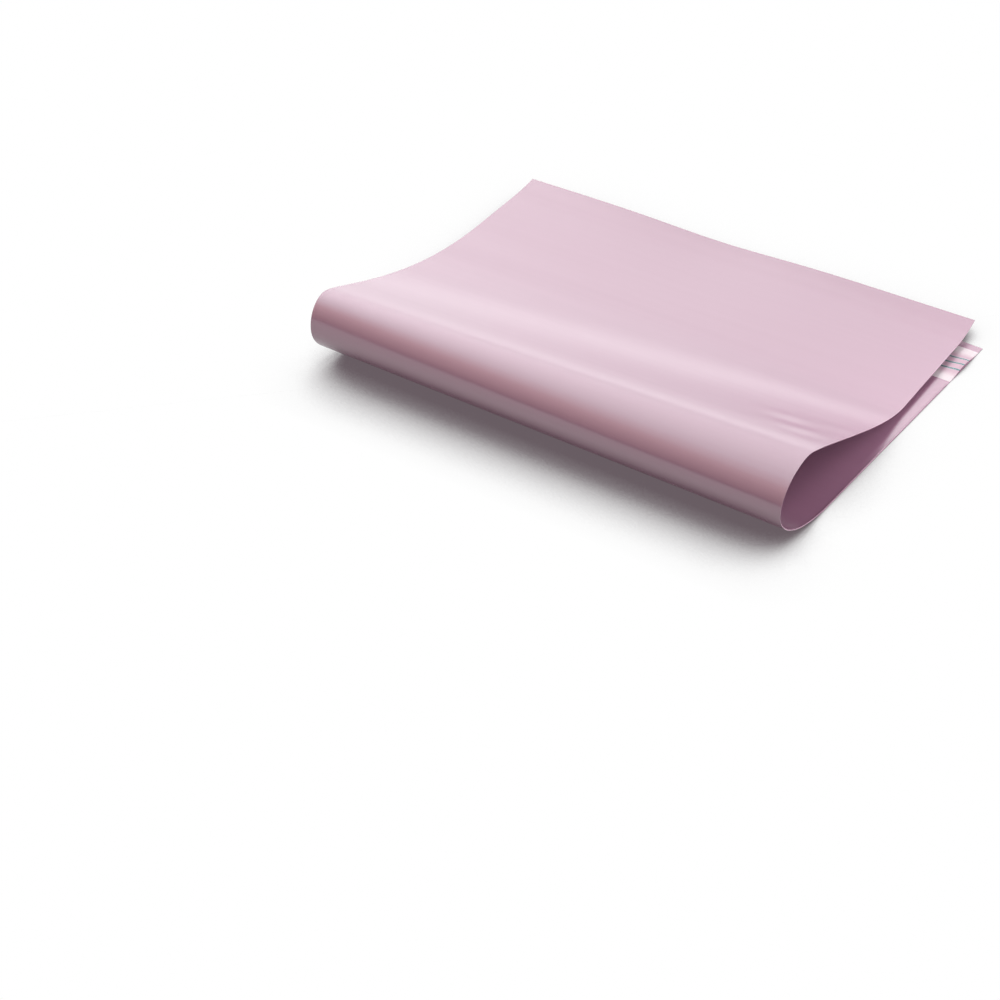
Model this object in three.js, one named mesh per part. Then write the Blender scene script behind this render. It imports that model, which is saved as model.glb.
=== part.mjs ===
// A mailing bag of thin glossy film, folded once across its length so that a round loop stays open at the fold.
// The back wall is the outside of the fold and runs on past the mouth as a lip.
// The front wall is the inside of the fold, joined to the back wall by two side seams and the bottom fold.
// Millimetres. X runs across the bag, Y from the loop to the lip, Z up from the surface that the bag lies on.
import * as THREE from 'three';

// The bag laid flat
const BAG_WIDTH = 280;
const POUCH_LENGTH = 420;
const LIP_LENGTH = 40;
const FILM_THICKNESS = 0.06;
const PLY_GAP = 0.1;
const SIDE_SEAM_WIDTH = 3;
const BOTTOM_FOLD_WIDTH = 2;

// The peel-and-seal closure on the lip
const CLOSURE_FROM_LIP_END = 21;
const ADHESIVE_WIDTH = 14;
const ADHESIVE_THICKNESS = 0.05;
const LINER_WIDTH = 32;
const LINER_THICKNESS = 0.05;

// The fold runs a little askew, in degrees, so the upper leaf turns by twice that over the lower one.
const FOLD_SKEW = 1.335;

// How far the bottom fold lies past the lip's end, in the middle of the bag
const UPPER_LEAF_OVERHANG = 3;

// The loop at the left and right edges: foot to nose, nose to crest
const NOSE_REACH_LEFT = 49.8;
const NOSE_REACH_RIGHT = 47.8;
const NOSE_HEIGHT_LEFT = 27;
const NOSE_HEIGHT_RIGHT = 25;
const CREST_SETBACK_LEFT = 13.4;
const CREST_SETBACK_RIGHT = 26;
const CREST_HEIGHT_LEFT = 43.5;
const CREST_HEIGHT_RIGHT = 44.1;

// The upper leaf at the left and right edges: from the crest down to where it lies level, and its far edge
const DESCENT_RUN_LEFT = 144;
const DESCENT_RUN_RIGHT = 110;
const LEVEL_HEIGHT_LEFT = 8;
const LEVEL_HEIGHT_RIGHT = 3.6;
const CREST_EASE = 12;
const LEVEL_EASE_LEFT = 75;
const LEVEL_EASE_RIGHT = 25;
const EDGE_LIFT_LEFT = 1.6;
const EDGE_LIFT_RIGHT = 4.6;
const EDGE_LIFT_RUN = 22;

// How finely the film is divided
const COLUMNS_BETWEEN_SEAMS = 14;
const ROWS_ON_FLAT = 3;
const ROWS_IN_LOOP = 22;
const ROWS_ON_UPPER_LEAF = 24;
const TANGENT_STEP = 0.01;

const FILM_LENGTH = LIP_LENGTH + POUCH_LENGTH;
const HALF_WIDTH = BAG_WIDTH / 2;

// The fold's section at one place across the bag, from its foot, where the film leaves the surface.
// across is 0 at the left edge and 1 at the right edge.
function foldSection(across) {
  const between = (left, right) => THREE.MathUtils.lerp(left, right, across);
  const reach = between(NOSE_REACH_LEFT, NOSE_REACH_RIGHT);
  const noseHeight = between(NOSE_HEIGHT_LEFT, NOSE_HEIGHT_RIGHT);
  const setback = between(CREST_SETBACK_LEFT, CREST_SETBACK_RIGHT);
  const crestHeight = between(CREST_HEIGHT_LEFT, CREST_HEIGHT_RIGHT);
  const crest = new THREE.Vector2(setback - reach, crestHeight);
  const level = new THREE.Vector2(
    crest.x + between(DESCENT_RUN_LEFT, DESCENT_RUN_RIGHT),
    between(LEVEL_HEIGHT_LEFT, LEVEL_HEIGHT_RIGHT),
  );
  const ahead = (point, distance) => new THREE.Vector2(point.x + distance, point.y);

  const lowerQuarter = new THREE.EllipseCurve(0, noseHeight, reach, noseHeight, 1.5 * Math.PI, Math.PI, true);
  const upperQuarter = new THREE.EllipseCurve(
    crest.x, noseHeight, setback, crestHeight - noseHeight, Math.PI, 0.5 * Math.PI, true,
  );
  const descent = new THREE.CubicBezierCurve(
    crest,
    ahead(crest, CREST_EASE),
    ahead(level, -between(LEVEL_EASE_LEFT, LEVEL_EASE_RIGHT)),
    level,
  );
  const levelLeaf = new THREE.LineCurve(level, ahead(level, FILM_LENGTH));

  const path = new THREE.CurvePath();
  path.curves = [lowerQuarter, upperQuarter, descent, levelLeaf];
  const toCrest = lowerQuarter.getLength() + upperQuarter.getLength();
  const toLevel = toCrest + descent.getLength();
  const edgeLift = between(EDGE_LIFT_LEFT, EDGE_LIFT_RIGHT);
  return { path, pathLength: path.getLength(), toCrest, toLevel, level, edgeLift };
}

// The film that is left once the loop is made is shared so that the upper leaf ends past the lip by its overhang.
function lowerLeafLength() {
  const { toLevel, level } = foldSection(0.5);
  return (FILM_LENGTH - toLevel + level.x - UPPER_LEAF_OVERHANG) / 2;
}

const LOWER_LEAF = lowerLeafLength();
const LOOP_FILM = Math.max(foldSection(0).toCrest, foldSection(1).toCrest);

const skew = THREE.MathUtils.degToRad(FOLD_SKEW);
const alongFold = new THREE.Vector2(Math.cos(skew), Math.sin(skew));
const acrossFold = new THREE.Vector2(-Math.sin(skew), Math.cos(skew));

// Evenly spaced places from one value up to, and without, the next
function steps(from, to, count) {
  return Array.from({ length: count }, (_, step) => THREE.MathUtils.lerp(from, to, step / count));
}

const columns = [
  -HALF_WIDTH,
  ...steps(SIDE_SEAM_WIDTH - HALF_WIDTH, HALF_WIDTH - SIDE_SEAM_WIDTH, COLUMNS_BETWEEN_SEAMS),
  HALF_WIDTH - SIDE_SEAM_WIDTH,
  HALF_WIDTH,
];

// Rows are measured along the film from the lip's end.
const rows = [
  0,
  ...steps(LIP_LENGTH, LOWER_LEAF, ROWS_ON_FLAT),
  ...steps(LOWER_LEAF, LOWER_LEAF + LOOP_FILM, ROWS_IN_LOOP),
  ...steps(LOWER_LEAF + LOOP_FILM, FILM_LENGTH - BOTTOM_FOLD_WIDTH, ROWS_ON_UPPER_LEAF),
  FILM_LENGTH - BOTTOM_FOLD_WIDTH,
  FILM_LENGTH,
];

// Depths are measured from the outside of the fold inwards, with one layer between each two of them.
const depths = [0, FILM_THICKNESS, FILM_THICKNESS + PLY_GAP, 2 * FILM_THICKNESS + PLY_GAP];
const layers = ['back wall', 'air', 'front wall'];

// Whether the bag has film in one cell of columns, rows and depths
function hasFilm(column, row, depth) {
  if (column < 0 || row < 0 || depth < 0) return false;
  if (column >= columns.length - 1 || row >= rows.length - 1 || depth >= layers.length) return false;
  if (layers[depth] === 'back wall') return true;
  if (rows[row] < LIP_LENGTH) return false;
  if (layers[depth] === 'front wall') return true;
  const atSideSeam = column === 0 || column === columns.length - 2;
  const atBottomFold = row === rows.length - 2;
  return atSideSeam || atBottomFold;
}

// Where the film lies: a point for each column, row and depth
function filmPoints() {
  const points = [];
  for (const x of columns) {
    const section = foldSection((x + HALF_WIDTH) / BAG_WIDTH);
    const pastFoot = (row) => -new THREE.Vector2(x, LOWER_LEAF - row).dot(acrossFold);
    const filmEnd = pastFoot(FILM_LENGTH);
    const place = (past) => {
      if (past <= 0) return new THREE.Vector2(-past, 0);
      const point = section.path.getPoint(past / section.pathLength);
      const lifted = THREE.MathUtils.clamp(1 - (filmEnd - past) / EDGE_LIFT_RUN, 0, 1);
      point.y += section.edgeLift * lifted ** 2;
      return point;
    };
    for (const row of rows) {
      const past = pastFoot(row);
      const along = place(past + TANGENT_STEP).sub(place(past - TANGENT_STEP)).normalize();
      const foldwise = new THREE.Vector2(x, LOWER_LEAF - row).dot(alongFold);
      for (const depth of depths) {
        const lies = place(past).add(new THREE.Vector2(along.y, -along.x).multiplyScalar(depth));
        points.push(
          foldwise * alongFold.x + lies.x * acrossFold.x,
          foldwise * alongFold.y + lies.x * acrossFold.y,
          lies.y,
        );
      }
    }
  }
  return points;
}

// The skin of all the cells that hold film, each face turned outwards
function filmGeometry() {
  const corner = (column, row, depth) => (column * rows.length + row) * depths.length + depth;
  const sides = [
    { step: [-1, 0, 0], corners: [[0, 0, 0], [0, 0, 1], [0, 1, 1], [0, 1, 0]] },
    { step: [1, 0, 0], corners: [[1, 0, 0], [1, 1, 0], [1, 1, 1], [1, 0, 1]] },
    { step: [0, -1, 0], corners: [[0, 0, 0], [1, 0, 0], [1, 0, 1], [0, 0, 1]] },
    { step: [0, 1, 0], corners: [[0, 1, 0], [0, 1, 1], [1, 1, 1], [1, 1, 0]] },
    { step: [0, 0, -1], corners: [[0, 0, 0], [0, 1, 0], [1, 1, 0], [1, 0, 0]] },
    { step: [0, 0, 1], corners: [[0, 0, 1], [1, 0, 1], [1, 1, 1], [0, 1, 1]] },
  ];
  const triangles = [];
  for (let column = 0; column < columns.length - 1; column += 1) {
    for (let row = 0; row < rows.length - 1; row += 1) {
      for (let depth = 0; depth < layers.length; depth += 1) {
        if (!hasFilm(column, row, depth)) continue;
        for (const { step, corners } of sides) {
          if (hasFilm(column + step[0], row + step[1], depth + step[2])) continue;
          const [a, b, c, d] = corners.map((at) => corner(column + at[0], row + at[1], depth + at[2]));
          triangles.push(a, c, b, a, d, c);
        }
      }
    }
  }
  const geometry = new THREE.BufferGeometry();
  geometry.setAttribute('position', new THREE.Float32BufferAttribute(filmPoints(), 3));
  geometry.setIndex(triangles);
  geometry.computeVertexNormals();
  return geometry;
}

// A flat strip of the closure, lying along the lip at a height above the surface
function lipStrip(name, length, width, thickness, height, material) {
  const strip = new THREE.Mesh(new THREE.BoxGeometry(length, width, thickness), material);
  strip.name = name;
  strip.position.set(0, LOWER_LEAF - CLOSURE_FROM_LIP_END, height + thickness / 2);
  return strip;
}

const filmMaterial = new THREE.MeshStandardMaterial({ color: 0xcfa9bb, roughness: 0.3, metalness: 0 });
const adhesiveMaterial = new THREE.MeshStandardMaterial({ color: 0xe6dcc4, roughness: 0.5, metalness: 0 });
const linerMaterial = new THREE.MeshStandardMaterial({ color: 0xe9e4ea, roughness: 0.25, metalness: 0 });

const film = new THREE.Mesh(filmGeometry(), filmMaterial);
film.name = 'bag_film';

const adhesive = lipStrip(
  'adhesive_strip',
  BAG_WIDTH - 2 * SIDE_SEAM_WIDTH,
  ADHESIVE_WIDTH,
  ADHESIVE_THICKNESS,
  FILM_THICKNESS,
  adhesiveMaterial,
);

const liner = lipStrip(
  'release_liner',
  BAG_WIDTH,
  LINER_WIDTH,
  LINER_THICKNESS,
  FILM_THICKNESS + ADHESIVE_THICKNESS,
  linerMaterial,
);

const bag = new THREE.Group();
bag.add(film, adhesive, liner);

// The origin is under the middle of the folded bag.
const middle = new THREE.Box3().setFromObject(bag).getCenter(new THREE.Vector3());
bag.position.set(-middle.x, -middle.y, 0);

export default bag;
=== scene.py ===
"""A mailing bag of thin glossy film, folded once across its length, lying on a pale floor. Metres."""

import math

import bpy
import numpy as np
from mathutils import Matrix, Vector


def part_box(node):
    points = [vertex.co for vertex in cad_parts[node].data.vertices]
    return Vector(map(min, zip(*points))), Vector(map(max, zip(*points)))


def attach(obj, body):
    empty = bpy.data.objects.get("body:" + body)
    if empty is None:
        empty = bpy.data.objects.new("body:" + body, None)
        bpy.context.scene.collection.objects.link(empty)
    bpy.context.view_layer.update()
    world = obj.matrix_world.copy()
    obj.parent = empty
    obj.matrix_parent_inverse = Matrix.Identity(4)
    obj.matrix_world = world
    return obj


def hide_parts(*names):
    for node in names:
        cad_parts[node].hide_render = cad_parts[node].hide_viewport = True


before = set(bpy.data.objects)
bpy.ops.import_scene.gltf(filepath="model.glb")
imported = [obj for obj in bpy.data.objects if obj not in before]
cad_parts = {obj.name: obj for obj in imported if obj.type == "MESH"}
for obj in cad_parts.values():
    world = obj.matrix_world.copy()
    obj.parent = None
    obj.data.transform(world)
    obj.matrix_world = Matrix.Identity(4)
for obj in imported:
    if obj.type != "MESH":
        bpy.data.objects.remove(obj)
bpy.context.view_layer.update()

# Bag film
# One length of blown polyethylene film, folded at the bottom and welded along both sides into a flat pouch.
# The back wall runs on past the mouth as the lip. The bag is folded in half with the back wall outside,
# and a round loop stays open at the fold because the film is springy.

BAG_WIDTH = 0.280
POUCH_LENGTH = 0.420
LIP_LENGTH = 0.040
FILM_LENGTH = LIP_LENGTH + POUCH_LENGTH
FILM_THICKNESS = 0.00006
PLY_GAP = 0.0001
SIDE_SEAM_WIDTH = 0.003
BOTTOM_FOLD_WIDTH = 0.002
CLOSURE_FROM_LIP_END = 0.021
FOLD_SKEW = math.radians(1.335)
UPPER_LEAF_OVERHANG = 0.003

# Each pair is the value at the left edge and at the right edge of the bag.
NOSE_REACH = (0.0498, 0.0478)
NOSE_HEIGHT = (0.027, 0.025)
CREST_SETBACK = (0.0134, 0.026)
CREST_HEIGHT = (0.0435, 0.0441)
DESCENT_RUN = (0.144, 0.110)
LEVEL_HEIGHT = (0.008, 0.0036)
LEVEL_EASE = (0.075, 0.025)
EDGE_LIFT = (0.0016, 0.0046)
CREST_EASE = 0.012
EDGE_LIFT_RUN = 0.022


def fold_section(across):
    """The fold's line at places across the bag, from its foot, and how far along it each point lies.
    Two quarter ellipses make the loop, a cubic curve comes down from its crest, and a straight leaf
    follows. across is 0 at the left edge and 1 at the right, and each value goes evenly from its left
    to its right. Gives arrays of columns by points by (forward, up)."""
    pairs = (NOSE_REACH, NOSE_HEIGHT, CREST_SETBACK, CREST_HEIGHT, DESCENT_RUN, LEVEL_HEIGHT, LEVEL_EASE)
    reach, nose, setback, crest, run, level, ease = (
        left + (right - left) * across[:, None] for left, right in pairs
    )
    under = np.linspace(1.5 * math.pi, math.pi, 120, endpoint=False)
    over = np.linspace(math.pi, 0.5 * math.pi, 90, endpoint=False)
    down = np.linspace(0, 1, 200)
    crest_x = setback - reach
    level_x = crest_x + run
    blend = [(1 - down) ** 3, 3 * (1 - down) ** 2 * down, 3 * (1 - down) * down**2, down**3]
    from_crest = crest_x * blend[0] + (crest_x + CREST_EASE) * blend[1]
    to_level = (level_x - ease) * blend[2] + level_x * blend[3]
    forward = np.hstack([
        reach * np.cos(under),
        crest_x + setback * np.cos(over),
        from_crest + to_level,
        level_x + FILM_LENGTH,
    ])
    up = np.hstack([
        nose + nose * np.sin(under),
        nose + (crest - nose) * np.sin(over),
        crest * (blend[0] + blend[1]) + level * (blend[2] + blend[3]),
        level,
    ])
    line = np.stack([forward, up], axis=2)
    steps = np.linalg.norm(np.diff(line, axis=1), axis=2)
    along = np.hstack([np.zeros((len(across), 1)), np.cumsum(steps, axis=1)])
    return line, along


def film_left_for_lower_leaf():
    """The lower leaf's length: half of the film that the loop leaves over, less half of what the upper
    leaf hangs over."""
    line, along = fold_section(np.array([0.5]))
    return (FILM_LENGTH - along[0, -2] + line[0, -2, 0] - UPPER_LEAF_OVERHANG) / 2


LOWER_LEAF = film_left_for_lower_leaf()
liner_low, liner_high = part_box("release_liner")
SHIFT_X = (liner_low.x + liner_high.x) / 2
SHIFT_Y = (liner_low.y + liner_high.y) / 2 - (LOWER_LEAF - CLOSURE_FROM_LIP_END)


def bell(value, middle, half_width):
    """A smooth hump of height 1 at the middle that falls to almost nothing two half widths away."""
    return np.exp(-(((value - middle) / half_width) ** 2))


def smooth_step(value, start, end):
    """0 before start, 1 after end, and an S-shaped rise between them."""
    share = np.clip((value - start) / (end - start), 0, 1)
    return share * share * (3 - 2 * share)


FAR_EDGE_DIP = 0.0026
FAR_EDGE_DIP_RUN = 0.090
FAR_EDGE_DIP_X, FAR_EDGE_DIP_HALF = -0.012, 0.045
PUCKER_HEIGHT = 0.0002
PUCKER_SPACING = 0.0215
PUCKER_SLANT = 0.30
PUCKER_X, PUCKER_X_HALF = 0.120, 0.022
PUCKER_PAST, PUCKER_PAST_HALF = 0.136, 0.020
LEAF_WAVE = 0.00012
LEAF_WAVE_FROM, LEAF_WAVE_FULL = 0.13, 0.19


def film_settling(x, past, film_end):
    """How far the film stands off its even shape, outwards: the far edge sags in its middle, the film
    puckers in a few slanted ripples beside the right edge behind the loop, and the upper leaf waves.
    past is how far a point lies along the fold from its foot, and film_end where the film ends."""
    dip = bell(x, FAR_EDGE_DIP_X, FAR_EDGE_DIP_HALF) * smooth_step(past - film_end, -FAR_EDGE_DIP_RUN, 0)
    uneven = 0.6 + 0.4 * np.sin(x / 0.008 + past / 0.007)
    puckered = bell(x, PUCKER_X, PUCKER_X_HALF) * bell(past, PUCKER_PAST, PUCKER_PAST_HALF) * uneven
    pucker = np.sin(2 * math.pi * (past - PUCKER_SLANT * x) / PUCKER_SPACING) * puckered
    wave = np.sin(x / 0.031 + past / 0.045) * np.sin(past / 0.038 - x / 0.09 + 0.6)
    on_leaf = smooth_step(past, LEAF_WAVE_FROM, LEAF_WAVE_FULL)
    return PUCKER_HEIGHT * pucker + LEAF_WAVE * wave * on_leaf - FAR_EDGE_DIP * dip


def film_place(x, run, depth):
    """Where film points lie in the row frame. x is across the flat bag, run is along it from the lip's end.
    A point short of the skewed foot line stays flat; one past it goes as far along the fold's section, and
    depth is measured from the outside of the fold inwards. Arrays of columns by rows by (x, y, z)."""
    column = np.broadcast_to(x[:, None], (len(x), len(run)))
    rest = np.broadcast_to(LOWER_LEAF - run[None, :], column.shape)
    foldwise = column * math.cos(FOLD_SKEW) + rest * math.sin(FOLD_SKEW)
    past = column * math.sin(FOLD_SKEW) - rest * math.cos(FOLD_SKEW)
    film_end = past[:, -1:] + (FILM_LENGTH - run[-1]) * math.cos(FOLD_SKEW)
    across = x / BAG_WIDTH + 0.5
    line, along = fold_section(across)
    travelled = np.clip(past, 0, None)
    before = np.clip((along[:, None, :] <= travelled[:, :, None]).sum(axis=2) - 1, 0, along.shape[1] - 2)
    here = np.take_along_axis(along, before, axis=1)
    ahead = np.take_along_axis(along, before + 1, axis=1)
    share = ((travelled - here) / (ahead - here))[:, :, None]
    start = np.take_along_axis(line, before[:, :, None], axis=1)
    end = np.take_along_axis(line, before[:, :, None] + 1, axis=1)
    point = start + (end - start) * share
    point[:, :, 0] -= np.clip(past, None, 0)
    lift = np.clip(1 - (film_end - past) / EDGE_LIFT_RUN, 0, 1) ** 2
    point[:, :, 1] += (EDGE_LIFT[0] + (EDGE_LIFT[1] - EDGE_LIFT[0]) * across[:, None]) * lift
    tangent = np.gradient(point, run, axis=1)
    tangent /= np.linalg.norm(tangent, axis=2, keepdims=True)
    inward = np.stack([tangent[:, :, 1], -tangent[:, :, 0]], axis=2)
    point = point + inward * (depth - film_settling(column, past, film_end) * (past > 0))[:, :, None]
    return np.stack([
        foldwise * math.cos(FOLD_SKEW) - point[:, :, 0] * math.sin(FOLD_SKEW) + SHIFT_X,
        foldwise * math.sin(FOLD_SKEW) + point[:, :, 0] * math.cos(FOLD_SKEW) + SHIFT_Y,
        point[:, :, 1],
    ], axis=2)


def places(*stretches):
    """Places along a line, from stretches of (start, end, count): each without its end, then the last one's
    end."""
    runs = [np.linspace(start, end, count, endpoint=False) for start, end, count in stretches]
    return np.concatenate([*runs, [stretches[-1][1]]])


HALF_WIDTH = BAG_WIDTH / 2
SEAM_BEAD_WIDTH = 0.0008
SEAM_BEAD_HEIGHT = 0.00035
BEAD_COLUMNS = 4
SEAM_COLUMNS = BEAD_COLUMNS + 1
MOUTH_ROW = 8
FINE_FROM_X = 0.080
FINE_FROM_RUN, FINE_TO_RUN = LOWER_LEAF - 0.006, LOWER_LEAF + 0.180
columns = places(
    (-HALF_WIDTH, SEAM_BEAD_WIDTH - HALF_WIDTH, BEAD_COLUMNS),
    (SEAM_BEAD_WIDTH - HALF_WIDTH, SIDE_SEAM_WIDTH - HALF_WIDTH, 1),
    (SIDE_SEAM_WIDTH - HALF_WIDTH, FINE_FROM_X, 62),
    (FINE_FROM_X, HALF_WIDTH - SIDE_SEAM_WIDTH, 32),
    (HALF_WIDTH - SIDE_SEAM_WIDTH, HALF_WIDTH - SEAM_BEAD_WIDTH, 1),
    (HALF_WIDTH - SEAM_BEAD_WIDTH, HALF_WIDTH, BEAD_COLUMNS),
)
rows = places(
    (0, LIP_LENGTH, MOUTH_ROW),
    (LIP_LENGTH, FINE_FROM_RUN, 22),
    (FINE_FROM_RUN, FINE_TO_RUN, 110),
    (FINE_TO_RUN, FILM_LENGTH - BOTTOM_FOLD_WIDTH, 50),
    (FILM_LENGTH - BOTTOM_FOLD_WIDTH, FILM_LENGTH, 1),
)

# The weld along each side ends in a fine rounded bead, which stands up from the inside of the fold.
from_side = (HALF_WIDTH - np.abs(columns)) / SEAM_BEAD_WIDTH
bead = SEAM_BEAD_HEIGHT * np.sqrt(np.clip(1 - (2 * from_side - 1) ** 2, 0, 1)) * (from_side <= 1)
wall_depths = (0, FILM_THICKNESS, FILM_THICKNESS + PLY_GAP, 2 * FILM_THICKNESS + PLY_GAP)
sheets = [film_place(columns, rows, depth) for depth in wall_depths[:3]]
sheets.append(film_place(columns, rows, wall_depths[3] + bead[:, None]))
film_points = np.stack(sheets, axis=2)


def film_cells():
    """Which cells between columns, rows and depths hold film: the back wall everywhere, the front wall
    from the mouth on, and the air between them only at the side seams and the bottom fold.
    One empty cell lies all round."""
    cells = np.zeros((len(columns) + 1, len(rows) + 1, 5), bool)
    cells[1:-1, 1:-1, 1] = True
    cells[1:-1, 1 + MOUTH_ROW:-1, 3] = True
    cells[1:1 + SEAM_COLUMNS, 1 + MOUTH_ROW:-1, 2] = True
    cells[-1 - SEAM_COLUMNS:-1, 1 + MOUTH_ROW:-1, 2] = True
    cells[1:-1, -2, 2] = True
    return cells


def skin_of(cells, shape):
    """The outward faces of all filled cells: each side of a cell whose neighbour is empty, as the
    numbers of its four corner points."""
    corners = np.arange(np.prod(shape)).reshape(shape)
    faces = []
    for axis in range(3):
        for side in (0, 1):
            empty = ~np.roll(cells, 1 - 2 * side, axis=axis)
            cell = np.argwhere(cells & empty) - 1
            first, second = [other for other in range(3) if other != axis]
            turn = [(0, 0), (1, 0), (1, 1), (0, 1)]
            if (axis == 1) == (side == 1):
                turn = turn[::-1]
            corner = []
            for step_first, step_second in turn:
                at = cell.copy()
                at[:, axis] += side
                at[:, first] += step_first
                at[:, second] += step_second
                corner.append(corners[tuple(at.T)])
            faces.append(np.stack(corner, axis=1))
    return np.concatenate(faces)


def mesh_object(name, points, faces, flat, sharp_angle=math.radians(40)):
    """A smooth-shaded object at the origin. Its UV map holds each point's place on the flat piece, in
    metres."""
    mesh = bpy.data.meshes.new(name)
    used, faces = np.unique(faces, return_inverse=True)
    faces = faces.reshape(-1, 4)
    mesh.from_pydata(points[used].tolist(), [], faces.tolist())
    flat_corners = flat[used][faces.ravel()].astype(np.float32)
    mesh.uv_layers.new(name="flat").uv.foreach_set("vector", flat_corners.ravel())
    mesh.polygons.foreach_set("use_smooth", np.ones(len(faces), bool))
    mesh.set_sharp_from_angle(angle=sharp_angle)
    mesh.update()
    piece = bpy.data.objects.new(name, mesh)
    bpy.context.scene.collection.objects.link(piece)
    return piece


flat_x, flat_run = np.meshgrid(columns, rows, indexing="ij")
film_flat = np.repeat(np.stack([flat_x, flat_run], axis=2)[:, :, None, :], 4, axis=2).reshape(-1, 2)
film_faces = skin_of(film_cells(), film_points.shape[:3])
bag = mesh_object("folded_bag_film", film_points.reshape(-1, 3), film_faces, film_flat)


def new_material(name):
    """A named node material and its node tree, with the Principled shader that it starts with."""
    material = bpy.data.materials.new(name)
    material.use_nodes = True
    tree = material.node_tree
    return material, tree, tree.nodes["Principled BSDF"]


MAUVE = (0.325, 0.160, 0.245, 1)
MAUVE_DEEPER = (0.318, 0.156, 0.239, 1)


def film_finish():
    """Mauve blown film: an even pigment with faint die lines across the bag, soft gloss and a fine
    unevenness."""
    material, tree, shader = new_material("mauve_film")
    coords = tree.nodes.new("ShaderNodeUVMap")
    coords.uv_map = "flat"
    stretch = tree.nodes.new("ShaderNodeMapping")
    stretch.inputs["Scale"].default_value = (4, 220, 1)
    die_lines = tree.nodes.new("ShaderNodeTexNoise")
    die_lines.inputs["Scale"].default_value = 1
    die_lines.inputs["Detail"].default_value = 3
    pigment = tree.nodes.new("ShaderNodeValToRGB")
    pigment.color_ramp.elements[0].position = 0.3
    pigment.color_ramp.elements[0].color = MAUVE_DEEPER
    pigment.color_ramp.elements[1].position = 0.7
    pigment.color_ramp.elements[1].color = MAUVE
    unevenness = tree.nodes.new("ShaderNodeTexNoise")
    unevenness.inputs["Scale"].default_value = 90
    unevenness.inputs["Detail"].default_value = 2
    bump = tree.nodes.new("ShaderNodeBump")
    bump.inputs["Strength"].default_value = 0.04
    bump.inputs["Distance"].default_value = 0.0005
    link = tree.links.new
    link(coords.outputs["UV"], stretch.inputs["Vector"])
    link(stretch.outputs["Vector"], die_lines.inputs["Vector"])
    link(die_lines.outputs["Fac"], pigment.inputs["Fac"])
    link(pigment.outputs["Color"], shader.inputs["Base Color"])
    link(coords.outputs["UV"], unevenness.inputs["Vector"])
    link(unevenness.outputs["Fac"], bump.inputs["Height"])
    link(bump.outputs["Normal"], shader.inputs["Normal"])
    shader.inputs["Roughness"].default_value = 0.24
    shader.inputs["IOR"].default_value = 2.1
    return material


bag.data.materials.append(film_finish())
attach(bag, "root")
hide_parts("bag_film")

# Adhesive strip
# A line of hot-melt adhesive rolled onto the inside of the lip, cloudy and slightly tacky.
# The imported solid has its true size, so it stays and only gets its finish.


def adhesive_finish():
    """Cloudy hot-melt: cream with soft blotches and a faintly uneven surface."""
    material, tree, shader = new_material("hot_melt")
    coords = tree.nodes.new("ShaderNodeTexCoord")
    blotches = tree.nodes.new("ShaderNodeTexNoise")
    blotches.inputs["Scale"].default_value = 120
    cloud = tree.nodes.new("ShaderNodeValToRGB")
    cloud.color_ramp.elements[0].color = (0.66, 0.50, 0.52, 1)
    cloud.color_ramp.elements[1].color = (0.76, 0.62, 0.62, 1)
    tree.links.new(coords.outputs["Object"], blotches.inputs["Vector"])
    tree.links.new(blotches.outputs["Fac"], cloud.inputs["Fac"])
    tree.links.new(cloud.outputs["Color"], shader.inputs["Base Color"])
    shader.inputs["Roughness"].default_value = 0.45
    return material


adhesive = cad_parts["adhesive_strip"]
adhesive.data.materials.clear()
adhesive.data.materials.append(adhesive_finish())

# Release liner
# A clear film strip laid over the adhesive, printed with three thin lines, and peeled off to close the bag.
# Its ends are not stuck down, so it stands up a little beside each side edge.

LINER_WIDTH = 0.032
LINER_BULGE = 0.0016
LINER_BULGE_RUN = 0.007
LINER_END = 0.03
LINE_SPACING = 0.0053
LINE_WIDTH = 0.0011
CLEAR_FROM, CLEAR_FULL = 0.0065, 0.0125


def liner_points():
    """The strip as columns by rows by its two faces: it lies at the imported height, and towards each end
    it rises in a low ridge along its middle, highest at the end itself."""
    left_end, right_end = liner_low.x + LINER_END, liner_high.x - LINER_END
    x = places((liner_low.x, left_end, 24), (left_end, right_end, 40), (right_end, liner_high.x, 24))
    y = places((liner_low.y, liner_high.y, 24))
    grid_x, grid_y = np.meshgrid(x, y, indexing="ij")
    from_end = np.minimum(grid_x - liner_low.x, liner_high.x - grid_x)
    across = (grid_y - liner_low.y) / (liner_high.y - liner_low.y)
    ridge = np.sin(math.pi * across) ** 2 * bell(from_end, 0, LINER_BULGE_RUN) * LINER_BULGE
    faces = [np.stack([grid_x, grid_y, height + ridge], axis=2) for height in (liner_low.z, liner_high.z)]
    flat = np.stack([grid_x, liner_high.y - grid_y], axis=2)
    return np.stack(faces, axis=2), np.repeat(flat[:, :, None, :], 2, axis=2)


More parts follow.
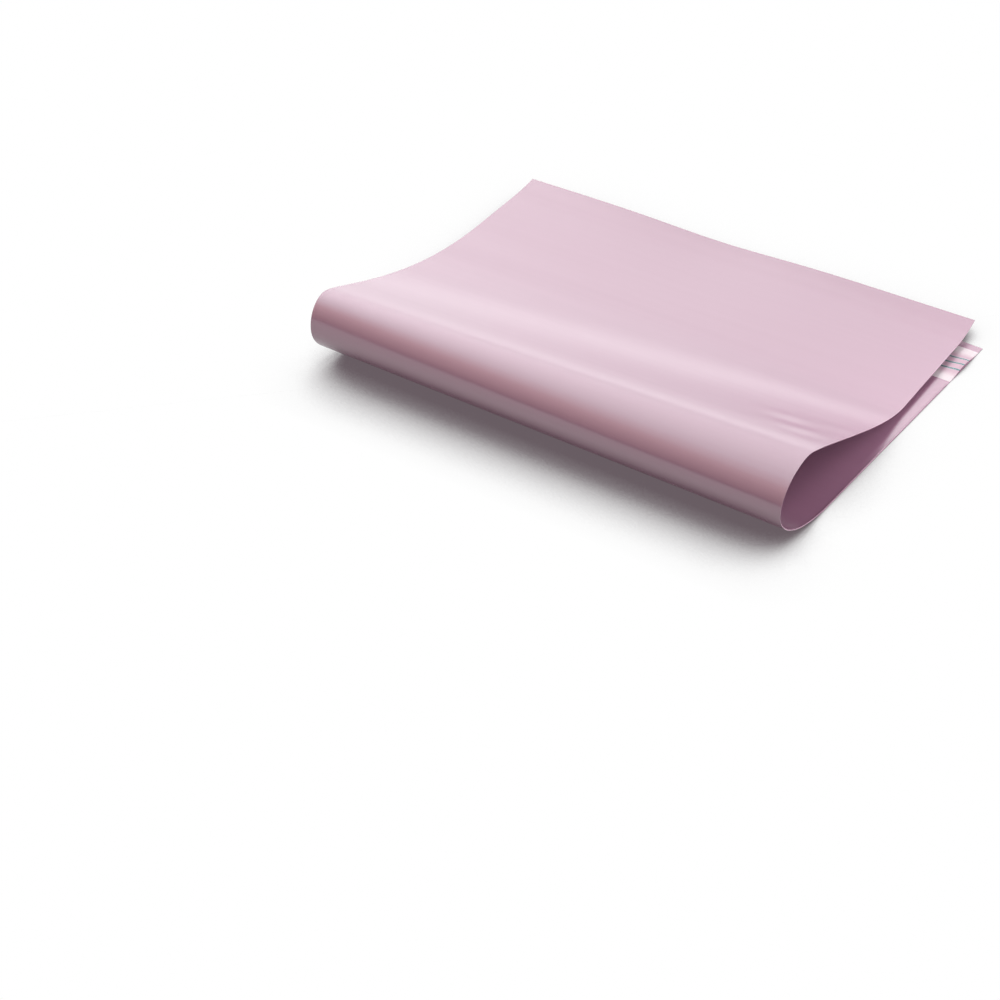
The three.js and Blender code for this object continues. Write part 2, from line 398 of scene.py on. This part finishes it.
def liner_finish():
    """Clear glossy film, pinker along its middle where the adhesive holds it to the lip, whiter beside
    that, with three printed teal lines: where the flat width falls within half a line of three places."""
    material, tree, shader = new_material("clear_liner")
    coords = tree.nodes.new("ShaderNodeUVMap")
    coords.uv_map = "flat"
    split = tree.nodes.new("ShaderNodeSeparateXYZ")
    centred = tree.nodes.new("ShaderNodeMath")
    centred.operation = "SUBTRACT"
    centred.inputs[1].default_value = LINER_WIDTH / 2
    nearest = tree.nodes.new("ShaderNodeMath")
    nearest.operation = "PINGPONG"
    nearest.inputs[1].default_value = LINE_SPACING / 2
    on_line = tree.nodes.new("ShaderNodeMath")
    on_line.operation = "LESS_THAN"
    on_line.inputs[1].default_value = LINE_WIDTH / 2
    off_middle = tree.nodes.new("ShaderNodeMath")
    off_middle.operation = "ABSOLUTE"
    in_print = tree.nodes.new("ShaderNodeMath")
    in_print.operation = "LESS_THAN"
    in_print.inputs[1].default_value = 1.5 * LINE_SPACING
    printed = tree.nodes.new("ShaderNodeMath")
    printed.operation = "MULTIPLY"
    clear = tree.nodes.new("ShaderNodeValToRGB")
    clear.color_ramp.interpolation = "EASE"
    clear.color_ramp.elements[0].position = CLEAR_FROM
    clear.color_ramp.elements[0].color = (0.66, 0.44, 0.54, 1)
    clear.color_ramp.elements[1].position = CLEAR_FULL
    clear.color_ramp.elements[1].color = (0.86, 0.77, 0.81, 1)
    ink = tree.nodes.new("ShaderNodeMix")
    ink.data_type = "RGBA"
    ink.inputs["B"].default_value = (0.05, 0.30, 0.31, 1)
    link = tree.links.new
    link(coords.outputs["UV"], split.inputs["Vector"])
    link(split.outputs["Y"], centred.inputs[0])
    link(centred.outputs["Value"], nearest.inputs[0])
    link(nearest.outputs["Value"], on_line.inputs[0])
    link(centred.outputs["Value"], off_middle.inputs[0])
    link(off_middle.outputs["Value"], in_print.inputs[0])
    link(on_line.outputs["Value"], printed.inputs[0])
    link(in_print.outputs["Value"], printed.inputs[1])
    link(off_middle.outputs["Value"], clear.inputs["Fac"])
    link(printed.outputs["Value"], ink.inputs["Factor"])
    link(clear.outputs["Color"], ink.inputs["A"])
    link(ink.outputs["Result"], shader.inputs["Base Color"])
    shader.inputs["Roughness"].default_value = 0.2
    shader.inputs["IOR"].default_value = 1.6
    shader.inputs["Alpha"].default_value = 0.6
    return material


liner_grid, liner_flat = liner_points()
liner_cells = np.zeros(tuple(count + 1 for count in liner_grid.shape[:3]), bool)
liner_cells[1:-1, 1:-1, 1:-1] = True
liner_faces = skin_of(liner_cells, liner_grid.shape[:3])
liner = mesh_object("clear_liner", liner_grid.reshape(-1, 3), liner_faces, liner_flat.reshape(-1, 2))
liner.data.materials.append(liner_finish())
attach(liner, "root")
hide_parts("release_liner")

# Floor
# A plain pale sweep that the bag lies on.
# It is white where it is seen, with a painted soft shadow where the bag is close to it, not one cast by the
# lamps.

FLOOR_HALF = 30.0
FLOOR_DROP = 0.0002
FLOOR_COLOUR = (0.35, 0.35, 0.35, 1)
# The painted shadow on the floor: how far its occlusion test reaches, its colour, and where it is full and
# where gone.
SHADOW_REACH = 0.045
SHADOW_COLOUR = (0.14, 0.11, 0.125, 1)
SHADOW_FULL_AT, SHADOW_GONE_AT = 0.42, 0.9


def floor_finish():
    """A matt pale surface. Seen directly or in a gloss it is white with a painted shadow, darkened by how
    much of the sky over a spot the bag takes up."""
    material, tree, shader = new_material("pale_floor")
    shader.inputs["Base Color"].default_value = FLOOR_COLOUR
    shader.inputs["Roughness"].default_value = 1
    shader.inputs["Specular IOR Level"].default_value = 0
    path = tree.nodes.new("ShaderNodeLightPath")
    seen = tree.nodes.new("ShaderNodeMath")
    seen.operation = "ADD"
    seen_too = tree.nodes.new("ShaderNodeMath")
    seen_too.operation = "ADD"
    seen_too.use_clamp = True
    # Ambient occlusion paints the floor's shadow: the white seen by the camera and in glosses turns to the
    # painted shadow colour where the bag hides the sky.
    open_sky = tree.nodes.new("ShaderNodeAmbientOcclusion")
    open_sky.samples = 8
    open_sky.inputs["Distance"].default_value = SHADOW_REACH
    shade = tree.nodes.new("ShaderNodeValToRGB")
    shade.color_ramp.elements[0].position = SHADOW_FULL_AT
    shade.color_ramp.elements[0].color = SHADOW_COLOUR
    shade.color_ramp.elements[1].position = SHADOW_GONE_AT
    shade.color_ramp.elements[1].color = (1, 1, 1, 1)
    white = tree.nodes.new("ShaderNodeEmission")
    mix = tree.nodes.new("ShaderNodeMixShader")
    link = tree.links.new
    link(path.outputs["Is Camera Ray"], seen.inputs[0])
    link(path.outputs["Is Glossy Ray"], seen.inputs[1])
    link(seen.outputs["Value"], seen_too.inputs[0])
    link(path.outputs["Is Transmission Ray"], seen_too.inputs[1])
    link(seen_too.outputs["Value"], mix.inputs["Fac"])
    link(open_sky.outputs["AO"], shade.inputs["Fac"])
    link(shade.outputs["Color"], white.inputs["Color"])
    link(shader.outputs["BSDF"], mix.inputs[1])
    link(white.outputs["Emission"], mix.inputs[2])
    link(mix.outputs["Shader"], tree.nodes["Material Output"].inputs["Surface"])
    return material


floor_corners = [
    (x * FLOOR_HALF, y * FLOOR_HALF, -FLOOR_DROP) for x, y in ((-1, -1), (1, -1), (1, 1), (-1, 1))
]
floor_mesh = bpy.data.meshes.new("floor")
floor_mesh.from_pydata(floor_corners, [], [(0, 1, 2, 3)])
floor_mesh.materials.append(floor_finish())
floor = bpy.data.objects.new("floor", floor_mesh)
bpy.context.scene.collection.objects.link(floor)

# Light and camera
# A row of soft boxes makes an arch over the left of the bag, from behind it to in front, and the film
# mirrors it: brightest behind the top of the arch, and fading to the front. A soft box and a low card light
# the loop's open right end, and a rear card stands behind the bag for the slope behind the loop to mirror.

ARCH_RADIUS = 1.30
ARCH_LEAN = 0.37
ARCH_WIDTH = 1.15
ARCH_FROM, ARCH_TO, ARCH_BOXES = 8, 166, 11
ARCH_BRIGHTEST_AT = 62
ARCH_FADE_BACK, ARCH_FADE_FRONT = 78, 90
ARCH_RADIANCE = 2.75
FRONT_WARMTH = (1, 0.74, 0.68)
WARM_FROM, WARM_FULL = 105, 135


def soft_box(name, place, target, size, radiance, colour=(1, 1, 1), upwards=(0, 0, 1)):
    """A rectangular lamp of even light, turned from its place towards a target. Its first side is square to
    the line of sight and to upwards, and its power is pi times its area times its radiance."""
    lamp = bpy.data.lights.new(name, "AREA")
    lamp.shape = "RECTANGLE"
    lamp.size, lamp.size_y = size
    lamp.energy = radiance * math.pi * size[0] * size[1]
    lamp.color = colour
    holder = bpy.data.objects.new(name, lamp)
    bpy.context.scene.collection.objects.link(holder)
    back = np.array(place) - np.array(target)
    back /= np.linalg.norm(back)
    side = np.cross(upwards, back)
    side /= np.linalg.norm(side)
    turn = np.eye(4)
    turn[:3, 0], turn[:3, 1], turn[:3, 2], turn[:3, 3] = side, np.cross(back, side), back, place
    holder.matrix_world = Matrix(turn.tolist())
    holder.visible_camera = False
    return holder


def arch_box(number, angle):
    """One box of the arch, at an angle in degrees round the bag's width, from the back over the top to the
    front. Its radiance falls off to both sides of the brightest angle as a bell."""
    fade = ARCH_FADE_BACK if angle < ARCH_BRIGHTEST_AT else ARCH_FADE_FRONT
    radiance = ARCH_RADIANCE * bell(angle, ARCH_BRIGHTEST_AT, fade)
    warm = smooth_step(angle, WARM_FROM, WARM_FULL)
    colour = [1 - warm * (1 - channel) for channel in FRONT_WARMTH]
    ring = math.sqrt(1 - ARCH_LEAN**2)
    turn = math.radians(angle)
    place = ARCH_RADIUS * np.array([-ARCH_LEAN, ring * math.cos(turn), ring * math.sin(turn)])
    onwards = (0, -math.sin(turn), math.cos(turn))
    length = ARCH_RADIUS * ring * math.radians((ARCH_TO - ARCH_FROM) / (ARCH_BOXES - 1))
    soft_box(f"arch_{number}", place, (0, 0, 0), (ARCH_WIDTH, length), radiance, colour, onwards)


for box_number, box_angle in enumerate(np.linspace(ARCH_FROM, ARCH_TO, ARCH_BOXES)):
    arch_box(box_number, box_angle)
soft_box("right_box", (0.66, 0.05, 0.90), (0.1, 0, 0.02), (0.6, 0.6), 3.2)
low_card = soft_box("low_card", (0.26, 0.02, 0.05), (0.12, 0.02, 0.0), (0.24, 0.05), 6.5)
soft_box("rear_card", (-0.24, 0.33, 0.016), (-0.05, -0.05, 0.016), (0.7, 0.03), 1.7)

# The film would mirror the low card as a white patch when seen from behind, so the card only gives light.
low_card.visible_glossy = False

world = bpy.data.worlds.new("room")
world.use_nodes = True
room = world.node_tree.nodes["Background"]
room.inputs["Color"].default_value = (1, 1, 1, 1)
room.inputs["Strength"].default_value = 0.06
bpy.context.scene.world = world

CAMERA_PLACE = (0.561036, -0.871406, 0.726789)
CAMERA_AZIMUTH = math.radians(37.222)
CAMERA_ELEVATION = math.radians(38.600)
CAMERA_ROLL = math.radians(-1.550)


def camera_matrix():
    """The camera's axes as columns: right and up, turned about the line of sight by the roll, and back."""
    back = np.array([
        math.sin(CAMERA_AZIMUTH) * math.cos(CAMERA_ELEVATION),
        -math.cos(CAMERA_AZIMUTH) * math.cos(CAMERA_ELEVATION),
        math.sin(CAMERA_ELEVATION),
    ])
    right = np.array([math.cos(CAMERA_AZIMUTH), math.sin(CAMERA_AZIMUTH), 0])
    up = np.cross(back, right)
    turned_right = math.cos(CAMERA_ROLL) * right + math.sin(CAMERA_ROLL) * up
    turned_up = -math.sin(CAMERA_ROLL) * right + math.cos(CAMERA_ROLL) * up
    matrix = np.eye(4)
    matrix[:3, 0], matrix[:3, 1], matrix[:3, 2], matrix[:3, 3] = turned_right, turned_up, back, CAMERA_PLACE
    return Matrix(matrix.tolist())


camera_data = bpy.data.cameras.new("camera")
camera_data.lens = 85
camera_data.sensor_width = 36
camera = bpy.data.objects.new("camera", camera_data)
bpy.context.scene.collection.objects.link(camera)
camera.matrix_world = camera_matrix()
bpy.context.scene.camera = camera
bpy.context.scene.view_settings.view_transform = "Standard"

bpy.context.view_layer.update()
